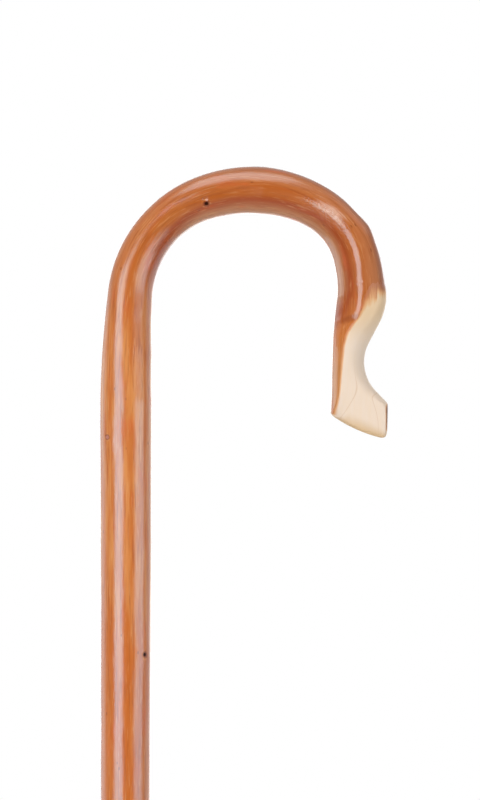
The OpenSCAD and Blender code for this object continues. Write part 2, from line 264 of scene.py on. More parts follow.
# A grid, one row a ring, is rolled into a unit tube with ring numbers as heights, and its ends are closed
stick_bm = bmesh.new()
bmesh.ops.create_grid(stick_bm, x_segments=stick_sides, y_segments=ring_count - 1, size=1)
for vert in stick_bm.verts:
    turn, row = vert.co.x * math.pi, round((vert.co.y + 1) / 2 * (ring_count - 1))
    open_ring = 0 < row < ring_count - 1
    vert.co = (math.cos(turn) * open_ring, math.sin(turn) * open_ring, row)
bmesh.ops.remove_doubles(stick_bm, verts=stick_bm.verts[:], dist=0.001)
bmesh.ops.recalc_face_normals(stick_bm, faces=stick_bm.faces[:])
stick_mesh = bpy.data.meshes.new("chestnut_stick")
stick_bm.to_mesh(stick_mesh)
stick_bm.free()

# Each point of the tube takes its place on the straight stick: across towards the mouth, through, and run
tube = np.empty(len(stick_mesh.vertices) * 3)
stick_mesh.vertices.foreach_get("co", tube)
tube = tube.reshape(-1, 3)
ring_number = np.round(tube[:, 2]).astype(int)
angle = np.arctan2(tube[:, 1], tube[:, 0])
straight = np.zeros_like(tube)

in_tenon = ring_number < len(tenon_rings)
tenon_r, tenon_h = np.array(tenon_rings).T[:, np.minimum(ring_number, len(tenon_rings) - 1)]
straight[:, 0] = tenon_r * np.cos(angle)
straight[:, 1] = tenon_r * np.sin(angle)
straight[:, 2] = tenon_h + foot_end - collar_top

run = np.array(runs)[np.clip(ring_number - len(tenon_rings), 0, len(runs) - 1)]
reach = bark_radius(run, angle)
lean = np.interp(run, lean_runs, leans)
leaning = (np.cos(angle) - lean * np.sin(angle)) / np.hypot(1, lean)
bark_place = np.stack((reach * leaning, reach * np.sin(angle), run), axis=1)
straight[~in_tenon] = bark_place[~in_tenon]

# The nose is found along rays from its core out to the carved skin. The core: height, then place outwards
nose_core = ((heel_ring, 20, 38, 62), (-1.0, -2.5, -5.0, 0.0))
ray_reach, halvings = 30.0, 26
in_nose = ~in_tenon & (run > nose_end - nose_top)
ray_w = nose_end - run[in_nose]
ray_u = np.interp(ray_w, *nose_core)
tilt = heel_slope * np.clip((tilt_height - ray_w) / (tilt_height - heel_ring), 0, 1)
past_heel = np.maximum(ring_number[in_nose] - len(tenon_rings) - len(runs) + 1, 0)
over = past_heel / heel_rings * math.pi / 2
outward = -np.cos(angle[in_nose]) * np.cos(over)
ray = np.stack((
    outward * np.cos(tilt) - np.sin(over) * np.sin(tilt),
    np.sin(angle[in_nose]) * np.cos(over),
    -outward * np.sin(tilt) - np.sin(over) * np.cos(tilt),
))
near, far = np.zeros_like(ray_w), np.full_like(ray_w, ray_reach)
for _ in range(halvings):
    half_way = (near + far) / 2
    skin = nose_skin(ray_u + ray[0] * half_way, ray[1] * half_way, ray_w + ray[2] * half_way)
    outside = eased_max(*skin, end_rounding) > 0
    near = np.where(outside, near, half_way)
    far = np.where(outside, half_way, far)
straight[in_nose, 0] = -(ray_u + ray[0] * near)
straight[in_nose, 1] = ray[1] * near
straight[in_nose, 2] = nose_end - (ray_w + ray[2] * near)

# How far under the bark each point lies. The shallow cut above the bite bares the wood on the outside too
bared_height, bared_spread, bared_depth = 66, 6, 3.0
round_angle = np.arctan2(straight[:, 1], straight[:, 0])
bark_depth = np.where(in_tenon, 1.0, -off_bark(*straight.T))
outermost = np.clip(-4 * np.cos(round_angle) - 2, 0, 1)
bared = bell(straight[:, 2] - nose_end + bared_height, bared_spread) * outermost
bark_depth = bark_depth + bared_depth * bared

# Where each point is round the nearest knot, and the depth of that knot's pit
no_knot = 50.0
knot_place = np.full_like(straight, no_knot)
for knot_run, knot_angle, _, _, pit in knots:
    around = round_from(knot_angle, round_angle) * np.hypot(straight[:, 0], straight[:, 1])
    along = straight[:, 2] - knot_run
    if pit < healed_pit:
        around, along = around * healed_scale[0], along * healed_scale[1]
    nearer = np.hypot(around, along) < np.hypot(knot_place[:, 0], knot_place[:, 1])
    knot_place[nearer] = np.stack((around, along, np.full_like(along, pit)), axis=1)[nearer]

# Where colour goes round the bend, by shares inside and outside it, at the crease and on the wrinkles.
# Round the bend it is painted shade on its inside, a painted reflection along its innermost side, a painted
# sheen on its outside and painted shade along its outermost side; the crease holds painted shade and the
# wrinkles painted glints
bent_runs = (shaft_length + 15, on_bend(1, 0.05), on_bend(2, 0), nose_end - 75, nose_end - 50)
bent_inside = np.interp(straight[:, 2], bent_runs, (0, 0.3, 1, 1, 0.1))
bent_outside = np.interp(straight[:, 2], bent_runs, (0, 0.75, 1, 1.35, 1.6))
bend_side = np.cos(round_angle) * np.where(np.cos(round_angle) < 0, bent_outside, bent_inside)
crease_shade = in_crease(straight[:, 2], round_angle)
wrinkled = bell(straight[:, 2] - wrinkle_run, wrinkle_length)
wrinkled = wrinkled * bell(round_angle - wrinkle_angle, wrinkle_reach)

# A tan band round the nose's end, up from its bottom edge: place out from the mouth, then how far up the
# band reaches
end_band = ((-12, -9, -5, 5, 14), (1.0, 3.0, 7.5, 7.5, 5.0))
from_end = heel_skin(-straight[:, 0], nose_end - straight[:, 2])
tan_end_band = 1 + from_end / np.interp(-straight[:, 0], *end_band)
tan_end_band = np.clip(tan_end_band, 0, 1) * in_nose

# Bending: the straight stick is laid along the spine
heading = np.interp(straight[:, 2], spine_run, spine_heading)
bent = np.stack((
    np.interp(straight[:, 2], spine_run, spine_x) + straight[:, 0] * np.cos(heading),
    straight[:, 1],
    np.interp(straight[:, 2], spine_run, spine_z) - straight[:, 0] * np.sin(heading),
), axis=1)
stick_mesh.vertices.foreach_set("co", (bent * MM).ravel())
for name, kind, values in (
    ("grain", "FLOAT_VECTOR", straight * MM),
    ("knot_place", "FLOAT_VECTOR", knot_place),
    ("bark_depth", "FLOAT", bark_depth),
    ("bend_side", "FLOAT", bend_side),
    ("tan_end_band", "FLOAT", tan_end_band),
    ("crease_shade", "FLOAT", crease_shade),
    ("wrinkled", "FLOAT", wrinkled),
):
    holds = "vector" if kind == "FLOAT_VECTOR" else "value"
    attribute = stick_mesh.attributes.new(name, kind, "POINT")
    attribute.data.foreach_set(holds, values.astype(np.float32).ravel())
stick_mesh.update()
stick_mesh.shade_smooth()


def colour(code):
    """An sRGB hex value as linear red, green, blue and alpha."""
    channels = (int(code[k:k + 2], 16) / 255 for k in (0, 2, 4))
    return *(c / 12.92 if c <= 0.04045 else ((c + 0.055) / 1.055) ** 2.4 for c in channels), 1.0


def add(tree, kind, sockets=None, **settings):
    """Adds a node with its settings, and sets or links its inputs, named or numbered."""
    made = tree.nodes.new("ShaderNode" + kind)
    for name, value in settings.items():
        setattr(made, name, value)
    for name, value in (sockets or {}).items():
        if isinstance(value, bpy.types.NodeSocket):
            tree.links.new(value, made.inputs[name])
        else:
            made.inputs[name].default_value = value
    return made


def new_material(name):
    """An empty material and its node tree."""
    material = bpy.data.materials.new(name)
    material.use_nodes = True
    material.node_tree.nodes.clear()
    return material, material.node_tree


def up_nose(height):
    """Run in metres at a height in millimetres above the nose's end."""
    return (nose_end - height) * MM


# Chestnut bark under varnish: warm brown with long streaks and blotches, a wet gloss and dark-pitted knots.
# Its colour holds painted shade, a painted reflection and a painted sheen round the bend, painted shade in
# a crease, painted glints on the brow and a painted sheen by the knots. Under it the carved wood is pale
# cream with fine fibres, a few growth-ring lines and a tan band round its end.
# The shaft's look turns into the crown's between two runs, in metres
shaft_look, crown_look = 1.03, 1.14
chestnut, tree = new_material("varnished_chestnut")
field = {}
for name in ("bark_depth", "bend_side", "tan_end_band", "crease_shade", "wrinkled"):
    field[name] = add(tree, "Attribute", attribute_name=name).outputs["Fac"]
grain = add(tree, "Attribute", attribute_name="grain").outputs["Vector"]
knot = add(tree, "Attribute", attribute_name="knot_place").outputs["Vector"]
field["run"] = add(tree, "SeparateXYZ", {0: grain}).outputs["Z"]
pit_depth = add(tree, "SeparateXYZ", {0: knot}).outputs["Z"]
for name, place, squash in (("from_knot", knot, (1.2, 1, 0)), ("from_pith", grain, (1, 1, 0))):
    flat = add(tree, "VectorMath", {0: place, 1: squash}, operation="MULTIPLY").outputs[0]
    field[name] = add(tree, "VectorMath", {0: flat}, operation="LENGTH").outputs["Value"]

# Patterns drawn out along the grain: width and length of a streak in millimetres, detail
for name, width, length, detail in (
    ("tone", 4, 44, 4), ("blotch", 6, 22, 4), ("dark_streak", 0.9, 20, 4), ("pale_streak", 0.8, 11, 4),
    ("fleck", 1.5, 3, 3), ("drift", 8, 30, 3), ("fibre", 1.2, 25, 3), ("torn", 0.9, 12, 4),
    ("wrinkle", 1.3, 1.3, 2), ("uneven", 5, 16, 3),
):
    size = (1 / (width * MM), 1 / (width * MM), 1 / (length * MM))
    drawn = add(tree, "Mapping", {"Vector": grain, "Scale": size}).outputs[0]
    field[name] = add(tree, "TexNoise", {"Vector": drawn, "Scale": 1.0, "Detail": detail}).outputs[0]

# The edge of a knot is ragged
ragged = {0: field["fleck"], 1: 1.6, 2: field["from_knot"]}
field["from_knot"] = add(tree, "Math", ragged, operation="MULTIPLY_ADD").outputs[0]

# Growth rings: a line at each pitch out from the pith, which drifts a little along the stick and sweeps
# out at the nose's end. Up the leg the lines fade
ring_pitch = 5.8
drift = add(tree, "MapRange", {0: field["drift"], 3: -3.35, 4: -2.95}).outputs[0]
sweep = {0: field["run"], 1: up_nose(22), 2: up_nose(5), 4: -0.8}
sweep = add(tree, "MapRange", sweep, interpolation_type="SMOOTHSTEP").outputs[0]
drift = add(tree, "Math", {0: drift, 1: sweep}).outputs[0]
ring = {0: field["from_pith"], 1: 2 / (ring_pitch * MM), 2: drift}
ring = add(tree, "Math", ring, operation="MULTIPLY_ADD").outputs[0]
ring = add(tree, "Math", {0: ring, 1: 1.0}, operation="PINGPONG").outputs[0]
faded = add(tree, "MapRange", {0: field["run"], 1: up_nose(26), 2: up_nose(42), 4: 0.07}).outputs[0]
field["ring"] = add(tree, "Math", {0: ring, 1: faded}).outputs[0]

# The cut through the bark is torn along the grain high on the leg, and crisp further down. At the heel
# it is shallow on the side of the mouth, where bark stays
torn = add(tree, "MapRange", {0: field["torn"], 1: 0.3, 2: 0.7, 3: 0.12, 4: 0.5}).outputs[0]
crisp = add(tree, "MapRange", {0: field["run"], 1: up_nose(70), 2: up_nose(58)}).outputs[0]
torn = add(tree, "MapRange", {0: crisp, 3: torn, 4: 1.0}).outputs[0]
pared = add(tree, "MapRange", {0: field["run"], 1: up_nose(20), 2: up_nose(10), 3: 1.0, 4: 0.3}).outputs[0]
pared = add(tree, "MapRange", {0: field["bend_side"], 1: -0.2, 2: 0.0, 3: 1.0, 4: pared}).outputs[0]
torn = add(tree, "Math", {0: torn, 1: pared}, operation="MULTIPLY").outputs[0]
cut = add(tree, "Math", {0: field["bark_depth"], 1: torn}, operation="MULTIPLY").outputs[0]
cut = add(tree, "Math", {0: field["tan_end_band"], 1: 0.9, 2: cut}, operation="MULTIPLY_ADD").outputs[0]
field["cut"] = cut

# Specks of the bark's pores, a knot's dark pit, and the pink centre of a shallow knot that has healed over
pore_size = (1 / (6 * MM), 1 / (6 * MM), 1 / (14 * MM))
pores = add(tree, "Mapping", {"Vector": grain, "Scale": pore_size}).outputs[0]
field["pore"] = add(tree, "TexVoronoi", {"Vector": pores, "Scale": 1.0}).outputs["Distance"]
inside = add(tree, "MapRange", {0: field["from_knot"], 1: 2.6, 2: 1.6}).outputs[0]
healed = add(tree, "Math", {0: pit_depth, 1: healed_pit}, operation="LESS_THAN").outputs[0]
field["healed"] = add(tree, "Math", {0: inside, 1: healed}, operation="MULTIPLY").outputs[0]
field["pit"] = add(tree, "Math", {0: inside, 1: field["healed"]}, operation="SUBTRACT").outputs[0]
# Pale flecks round each knot, which also give a painted sheen over its swelling, and painted glints in the
# wrinkles of the brow
swollen = add(tree, "MapRange", {0: field["from_knot"], 1: 7.5, 2: 3.3}).outputs[0]
for name, patch, marks in (
    ("knot_flecks_and_sheen", swollen, "fleck"), ("painted_brow_glints", field["wrinkled"], "pale_streak"),
):
    field[name] = add(tree, "Math", {0: patch, 1: field[marks]}, operation="MULTIPLY").outputs[0]

# Layers of colour, each laid over the one before: field, its values where the layer starts and is full, the
# layer's share, its colour
layers = {
    "bark": ("be6a2c", (
        ("tone", 0.38, 0.64, 1.0, "cd8446"),
        ("run", shaft_look, crown_look, 0.8, "a65114"),
        ("run", 0.95, 0.87, 0.6, "b85b16"),
        ("run", on_bend(3, 0.5) * MM, on_bend(4, 0.5) * MM, 0.5, "aa643a"),
        ("run", up_nose(80), up_nose(50), 0.6, "c67636"),
        ("run", up_nose(55), up_nose(30), 0.6, "bd8a54"),
        # Painted shade: the inside of the bend darker, short of its innermost side
        ("bend_side", 0.14, 0.48, 0.66, "8e3000"),
        # Painted reflection of the pale floor and backdrop along the innermost side of the bend
        ("bend_side", 0.46, 0.92, 0.5, "c4966a"),
        # Painted sheen: the outside of the bend paler
        ("bend_side", -0.1, -0.6, 0.42, "b87a52"),
        ("blotch", 0.55, 0.75, 0.45, "c8592a"),
        ("dark_streak", 0.5, 0.7, 0.45, "8f4419"),
        ("pale_streak", 0.53, 0.73, 0.3, "dba26c"),
        # Painted shade along the outermost side of the bend
        ("bend_side", -0.8, -1.1, 0.5, "7d3f24"),
        ("bend_side", -1.15, -1.5, 0.8, "562c17"),
        # Painted glints in the wrinkles of the brow
        ("painted_brow_glints", 0.2, 0.55, 0.7, "dcb29c"),
        # Painted shade in the crease at the foot of the leg's ridge
        ("crease_shade", 0.1, 0.9, 0.45, "7a2e10"),
        ("pore", 0.09, 0.045, 0.5, "6a3012"),
        # Pale flecks round the knots, spread into a painted sheen over their swellings
        ("knot_flecks_and_sheen", 0.4, 0.7, 0.5, "d69a68"),
        ("from_knot", 3.1, 2.1, 0.85, "6f3016"),
        ("pit", 0.55, 1.0, 1.0, "2a1209"),
        ("healed", 0.2, 0.8, 0.9, "b67664"),
        ("cut", 0.05, 0.35, 1.0, "d2965c"),
    )),
    "pale wood": ("e0ccb9", (
        ("fibre", 0.35, 0.7, 0.7, "e0cab2"),
        ("run", up_nose(42), up_nose(66), 0.75, "d9b889"),
        ("ring", 0.07, 0.0, 0.45, "c49d75"),
        # A tan band round the nose's end, up from its bottom edge
        ("tan_end_band", 0.0, 1.0, 0.95, "cbaa7f"),
    )),
}
layered = {}
for name, (ground, coats) in layers.items():
    laid = colour(ground)
    for source, low, high, share, code in coats:
        limits = {0: field[source], 1: low, 2: high, 4: share}
        cover = add(tree, "MapRange", limits, interpolation_type="SMOOTHSTEP").outputs[0]
        laid = add(tree, "Mix", {0: cover, 6: laid, 7: colour(code)}, data_type="RGBA").outputs[2]
    layered[name] = laid
carved = {0: field["cut"], 1: 0.15, 2: 0.7}
carved = add(tree, "MapRange", carved, interpolation_type="SMOOTHSTEP").outputs[0]
wood = {0: carved, 6: layered["bark"], 7: layered["pale wood"]}
wood = add(tree, "Mix", wood, data_type="RGBA").outputs[2]

# Relief under the varnish: the brow's wrinkles, the torn fibres and a slow unevenness
relief = add(tree, "Math", {0: field["wrinkle"], 1: field["wrinkled"]}, operation="MULTIPLY").outputs[0]
relief = add(tree, "Math", {0: relief, 1: 22.0, 2: field["torn"]}, operation="MULTIPLY_ADD").outputs[0]
relief = add(tree, "Math", {0: field["uneven"], 1: 9.0, 2: relief}, operation="MULTIPLY_ADD").outputs[0]
bump = add(tree, "Bump", {"Height": relief, "Strength": 1.0, "Distance": 0.024 * MM}).outputs[0]

# Gloss: shaved bark, bare wood, pits and the dark rind outside the brow are matt, and the leg is glossiest.
# The varnish is thicker on the shaft, with a cooler bloom, and pits have none
shaved = add(tree, "MapRange", {0: field["cut"], 1: 0.01, 2: 0.12}).outputs[0]
matt = add(tree, "Math", {0: shaved, 1: field["pit"]}, operation="MAXIMUM").outputs[0]
rind = add(tree, "MapRange", {0: field["bend_side"], 1: -1.15, 2: -1.5}).outputs[0]
matt = add(tree, "Math", {0: matt, 1: rind}, operation="MAXIMUM").outputs[0]
gloss = {0: field["run"], 1: on_bend(3, 0) * MM, 2: on_bend(4, 0) * MM, 3: 0.24, 4: 0.16}
gloss = add(tree, "MapRange", gloss).outputs[0]
varnish = {0: field["run"], 1: shaft_look, 2: crown_look, 3: 0.16, 4: 0.1}
varnish = add(tree, "MapRange", varnish).outputs[0]
varnish = add(tree, "MapRange", {0: field["pit"], 3: varnish, 4: 0.0}).outputs[0]
bloom = add(tree, "MapRange", {0: field["run"], 1: shaft_look, 2: crown_look}).outputs[0]
bloom = add(tree, "Mix", {0: bloom, 6: colour("8ee2ff"), 7: colour("c4dce6")}, data_type="RGBA").outputs[2]
bloom = add(tree, "Mix", {0: field["pit"], 6: bloom, 7: colour("40200f")}, data_type="RGBA").outputs[2]
surface = add(tree, "BsdfPrincipled", {
    "Base Color": wood,
    "Roughness": add(tree, "MapRange", {0: matt, 3: gloss, 4: 0.6}).outputs[0],
    "Specular IOR Level": 0.7,
    "Specular Tint": bloom,
    "Coat Weight": varnish,
    "Coat Roughness": 0.16,
    "Coat IOR": 1.49,
    "Normal": bump,
})
add(tree, "OutputMaterial", {"Surface": surface.outputs[0]})
stick_mesh.materials.append(chestnut)
stick = bpy.data.objects.new("stick_visual", stick_mesh)
bpy.context.scene.collection.objects.link(stick)
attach(stick, "crook")
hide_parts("stick")


# The ferrule collar
# A brass cup turned from bar, glued over the stick's tenon so that the wood and the metal run flush.
# A rolled bead closes its top edge, and the spike passes through a hole in its end plate.

collar_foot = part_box("ferrule_collar")[0].z / MM
collar_radius, collar_bore, plate, chamfer, bead = 11.5, 10.0, 2.5, 0.8, 1.0


def arc(centre, radius, start, end, steps=12):
    """Points of an arc in a half outline, from one angle to another in degrees from straight out."""
    angles = np.radians(np.linspace(start, end, steps + 1))
    return [(centre[0] + radius * math.cos(a), centre[1] + radius * math.sin(a)) for a in angles]


def turned(outline, steps=96):
    """A half outline, out from the axis and up in millimetres, spun round the shaft's axis."""
    spun = bmesh.new()
    points = [spun.verts.new((out * MM, 0, up * MM)) for out, up in outline]
    ends_on_axis = outline[0][0] == outline[-1][0] == 0
    following = points[1:] if ends_on_axis else points[1:] + points[:1]
    edges = [spun.edges.new(pair) for pair in zip(points, following)]
    full_turn = 2 * math.pi
    bmesh.ops.spin(spun, geom=points + edges, axis=(0, 0, 1), angle=full_turn, steps=steps, use_merge=True)
    bmesh.ops.remove_doubles(spun, verts=spun.verts[:], dist=0.001 * MM)
    bmesh.ops.recalc_face_normals(spun, faces=spun.faces[:])
    return spun


def fit(name, shape, easing, material, body, node):
    """Eases a shape's crisp edges, and fits it as a finished piece in place of its CAD node."""
    crisp_angle = math.radians(28)
    crisp_edges = [edge for edge in shape.edges if edge.calc_face_angle(0) > crisp_angle]
    bmesh.ops.bevel(
        shape, geom=crisp_edges, offset=easing * MM, segments=3, profile=0.5,
        affect="EDGES", material=-1, clamp_overlap=True,
    )
    mesh = bpy.data.meshes.new(name)
    shape.to_mesh(mesh)
    shape.free()
    mesh.shade_smooth()
    mesh.materials.append(material)
    piece = bpy.data.objects.new(name, mesh)
    bpy.context.scene.collection.objects.link(piece)
    piece.modifiers.new("even_shading", "WEIGHTED_NORMAL")
    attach(piece, body)
    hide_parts(node)


# Turned brass: warm yellow metal with fine tool lines round it, dulled in patches by handling.
# The tool lines are drawn 0.5 mm apart, coarser than a real finishing cut, so that they show
brass, tree = new_material("turned_brass")
place = add(tree, "TexCoord").outputs["Object"]
lines = add(tree, "Mapping", {"Vector": place, "Scale": (15, 15, 1 / (0.5 * MM))}).outputs[0]
lines = add(tree, "TexNoise", {"Vector": lines, "Scale": 1.0, "Detail": 2.0}).outputs[0]
dulled = add(tree, "TexNoise", {"Vector": place, "Scale": 1 / (14 * MM), "Detail": 5.0}).outputs[0]
dulled = add(tree, "MapRange", {0: dulled, 1: 0.4, 2: 0.7}).outputs[0]
tarnish = {0: dulled, 6: colour("d2ab5e"), 7: colour("a27c3f")}
bump = add(tree, "Bump", {"Height": lines, "Strength": 0.25, "Distance": 0.03 * MM}).outputs[0]
surface = add(tree, "BsdfPrincipled", {
    "Base Color": add(tree, "Mix", tarnish, data_type="RGBA").outputs[2],
    "Metallic": 1.0,
    "Roughness": add(tree, "MapRange", {0: dulled, 3: 0.24, 4: 0.42}).outputs[0],
    "Normal": bump,
})
add(tree, "OutputMaterial", {"Surface": surface.outputs[0]})

collar = turned([
    (shank_hole, collar_foot),
    (collar_radius - chamfer, collar_foot),
    (collar_radius, collar_foot + chamfer),
    *arc((collar_radius, collar_top - bead), bead, -90, 90),
    (collar_bore, collar_top),
    (collar_bore, collar_foot + plate),
    (shank_hole, collar_foot + plate),
])
fit("ferrule_collar_visual", collar, 0.2, brass, "crook", "ferrule_collar")


# The collar pins
# Two brass pins with low domed heads, driven through the collar into the tenon on opposite sides.
# Their heads bed on the round of the collar, 10 mm under its top.

pin_height = collar_top - 10
pin_radius, pin_length, head_radius, head_height = 0.8, 7.0, 2.0, 0.9
dome = (head_radius**2 + head_height**2) / (2 * head_height)
dome_edge = math.degrees(math.asin((dome - head_height) / dome))

# Drawn brass: a little redder and brighter than the collar, with the small dents of the hammer on each head
pin_brass, tree = new_material("hammered_brass")
place = add(tree, "TexCoord").outputs["Object"]
dents = {"Vector": place, "Scale": 1 / (0.9 * MM)}
dents = add(tree, "TexVoronoi", dents, feature="SMOOTH_F1").outputs["Distance"]
grime = add(tree, "TexNoise", {"Vector": place, "Scale": 1 / (1.2 * MM), "Detail": 4.0}).outputs[0]
grime = add(tree, "MapRange", {0: grime, 1: 0.45, 2: 0.75}).outputs[0]
grimy = {0: grime, 6: colour("dcb268"), 7: colour("a67a3c")}
bump = add(tree, "Bump", {"Height": dents, "Strength": 0.35, "Distance": 0.1 * MM}).outputs[0]
surface = add(tree, "BsdfPrincipled", {
    "Base Color": add(tree, "Mix", grimy, data_type="RGBA").outputs[2],
    "Metallic": 1.0,
    "Roughness": add(tree, "MapRange", {0: grime, 3: 0.22, 4: 0.4}).outputs[0],
    "Normal": bump,
})
add(tree, "OutputMaterial", {"Surface": surface.outputs[0]})

pins = turned([
    *arc((0, dome - head_height), dome, -90, -dome_edge),
    (pin_radius, 0),
    (pin_radius, pin_length),
    (0, pin_length),
], steps=32)
seat = Matrix.Translation((0, -collar_radius * MM, pin_height * MM))
driven = seat @ Matrix.Rotation(-math.pi / 2, 4, "X")
bmesh.ops.transform(pins, matrix=driven, verts=pins.verts[:])
opposite = bmesh.ops.duplicate(pins, geom=pins.verts[:] + pins.edges[:] + pins.faces[:])["geom"]
opposite = [part for part in opposite if isinstance(part, bmesh.types.BMVert)]
bmesh.ops.rotate(pins, verts=opposite, cent=(0, 0, 0), matrix=Matrix.Rotation(math.pi, 3, "Z"))
fit("collar_pins_visual", pins, 0.12, pin_brass, "crook", "collar_pins")


# The spike
# A steel point with a hexagon for a spanner, turned and milled in one piece and zinc plated.
# Its shank goes up through the collar's end plate into the end grain, and the hexagon tightens the collar.

spike_tip, spike_top = (corner.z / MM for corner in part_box("spike"))
hex_half, hex_height, shank_radius, point_radius, tip_radius = 5.0, 3.5, 3.0, 4.5, 0.8

# Zinc-plated steel: bluish grey and evenly bright, with faint turning lines and dull scuffs.
# The lines are drawn 0.4 mm apart, coarser than real ones, so that they show
zinc, tree = new_material("zinc_plated_steel")
place = add(tree, "TexCoord").outputs["Object"]
lines = add(tree, "Mapping", {"Vector": place, "Scale": (25, 25, 1 / (0.4 * MM))}).outputs[0]
lines = add(tree, "TexNoise", {"Vector": lines, "Scale": 1.0, "Detail": 2.0}).outputs[0]
scuffs = add(tree, "TexNoise", {"Vector": place, "Scale": 1 / (4 * MM), "Detail": 6.0}).outputs[0]
scuffs = add(tree, "MapRange", {0: scuffs, 1: 0.45, 2: 0.7}).outputs[0]
scuffed = {0: scuffs, 6: colour("bcc0c3"), 7: colour("8d8e8c")}
bump = add(tree, "Bump", {"Height": lines, "Strength": 0.2, "Distance": 0.03 * MM}).outputs[0]
surface = add(tree, "BsdfPrincipled", {
    "Base Color": add(tree, "Mix", scuffed, data_type="RGBA").outputs[2],
    "Metallic": 1.0,
    "Roughness": add(tree, "MapRange", {0: scuffs, 3: 0.28, 4: 0.5}).outputs[0],
    "Normal": bump,
})
add(tree, "OutputMaterial", {"Surface": surface.outputs[0]})

spike = turned([
    *arc((0, spike_tip + tip_radius), tip_radius, -90, 0, 8),
    (point_radius, collar_foot - hex_height),
    (hex_half, collar_foot - hex_height),
    (hex_half, collar_foot),
    (shank_radius, collar_foot),
    (shank_radius, spike_top),
    (0, spike_top),
])
for vert in spike.verts:
    out = math.hypot(vert.co.x, vert.co.y)
    if abs(out - hex_half * MM) < 0.01 * MM:
        off_flat = math.atan2(vert.co.y, vert.co.x) % (math.pi / 3) - math.pi / 6
        vert.co.x /= math.cos(off_flat)
        vert.co.y /= math.cos(off_flat)
fit("spike_visual", spike, 0.25, zinc, "crook", "spike")


# The foot washer
# A steel washer stamped from sheet and moulded into the rubber foot.
# The end of the collar stands on it, so that the spike can't push through the rubber.

washer_foot, washer_top = (corner.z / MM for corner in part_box("foot_washer"))
washer_radius, washer_hole = 13.0, 6.5

# Stamped steel: grey, half bright, with the direction of the rolled sheet showing as fine straight lines.
# They are drawn 0.4 mm apart, coarser than on real sheet, so that they show
stamped, tree = new_material("stamped_steel")
place = add(tree, "TexCoord").outputs["Object"]
rolled = add(tree, "Mapping", {"Vector": place, "Scale": (40, 1 / (0.4 * MM), 40)}).outputs[0]
rolled = add(tree, "TexNoise", {"Vector": rolled, "Scale": 1.0, "Detail": 3.0}).outputs[0]
lined = {0: rolled, 6: colour("b3b4b4"), 7: colour("8a8a88")}
surface = add(tree, "BsdfPrincipled", {
    "Base Color": add(tree, "Mix", lined, data_type="RGBA").outputs[2],
    "Metallic": 1.0,
    "Roughness": add(tree, "MapRange", {0: rolled, 3: 0.35, 4: 0.5}).outputs[0],
    "Normal": add(tree, "Bump", {"Height": rolled, "Strength": 0.2, "Distance": 0.03 * MM}).outputs[0],
})
add(tree, "OutputMaterial", {"Surface": surface.outputs[0]})

washer = turned([
    (washer_hole, washer_foot),
    (washer_radius, washer_foot),
    (washer_radius, washer_top),
    (washer_hole, washer_top),
])
fit("foot_washer_visual", washer, 0.3, stamped, "foot", "foot_washer")


# The rubber foot
# A black rubber foot moulded in one piece, with grip ribs round its sleeve and two grooves in its tread.
# It pulls off: its sleeve grips the collar, and a pocket under the washer leaves room for the spike.

foot_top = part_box("rubber_foot")[1].z / MM
foot_radius, base_height, flare, sleeve, edge = 17.98, 7.0, 18.0, 14.5, 1.2
socket, recess, pocket, pocket_floor = 11.6, 13.05, 6.5, 9.0
rib, rib_pitch, ribs = 1.0, 6.0, 3
tread_grooves, groove_half, groove_depth = (6, 12), 1.0, 1.6
flare_rise = math.sqrt(flare**2 - (flare - foot_radius + sleeve) ** 2)
flare_start = 180 + math.degrees(math.asin(flare_rise / flare))

# Moulded rubber: matt black with a fine mould grain, greyed by dust in patches and near the ground.
# The grain is drawn 0.6 mm wide, coarser than a real mould's, so that it shows
rubber, tree = new_material("moulded_rubber")
place = add(tree, "TexCoord").outputs["Object"]
mould_grain = add(tree, "TexNoise", {"Vector": place, "Scale": 1 / (0.6 * MM), "Detail": 3.0}).outputs[0]
height = add(tree, "SeparateXYZ", {0: place}).outputs["Z"]
near_ground = {0: height, 1: 12 * MM, 2: 0.0}
near_ground = add(tree, "MapRange", near_ground, interpolation_type="SMOOTHSTEP").outputs[0]
dust = add(tree, "TexNoise", {"Vector": place, "Scale": 1 / (6 * MM), "Detail": 6.0}).outputs[0]
dust = add(tree, "Math", {0: near_ground, 1: 0.25, 2: dust}, operation="MULTIPLY_ADD").outputs[0]
dust = add(tree, "MapRange", {0: dust, 1: 0.45, 2: 0.95}).outputs[0]
dusty = {0: dust, 6: colour("171718"), 7: colour("3f3d39")}
surface = add(tree, "BsdfPrincipled", {
    "Base Color": add(tree, "Mix", dusty, data_type="RGBA").outputs[2],
    "Roughness": add(tree, "MapRange", {0: dust, 3: 0.45, 4: 0.7}).outputs[0],
    "Specular IOR Level": 0.45,
    "Normal": add(tree, "Bump", {"Height": mould_grain, "Strength": 0.3, "Distance": 0.1 * MM}).outputs[0],
})
add(tree, "OutputMaterial", {"Surface": surface.outputs[0]})

tread = [(0, 0)]
for groove in tread_grooves:
    inner, outer = groove - groove_half, groove + groove_half
    tread += [(inner, 0), (inner, groove_depth), (outer, groove_depth), (outer, 0)]
grip = []
for below_top in range(ribs, 0, -1):
    grip += arc((sleeve, foot_top - below_top * rib_pitch), rib, -90, 90, 10)
rubber_foot = turned([
    *tread,
    *arc((foot_radius - edge, edge), edge, -90, 0, 6),
    *arc((sleeve + flare, base_height + flare_rise), flare, flare_start, 180),
    *grip,
    *arc((sleeve - edge, foot_top - edge), edge, 0, 90, 6),
    (socket, foot_top),
    (socket, collar_foot),
    (recess, collar_foot),
    (recess, washer_foot),
    (pocket, washer_foot),
    (pocket, pocket_floor),
    (0, pocket_floor),
])
fit("rubber_foot_visual", rubber_foot, 0.3, rubber, "foot", "rubber_foot")


# The studio
# A level camera on a long lens looks at the head. Softboxes stand at both sides, over the top, low along
# the shaft and behind it, and the crook stands on a plain pale floor before a white background.

scene = bpy.context.scene
scene.view_settings.view_transform = "Standard"

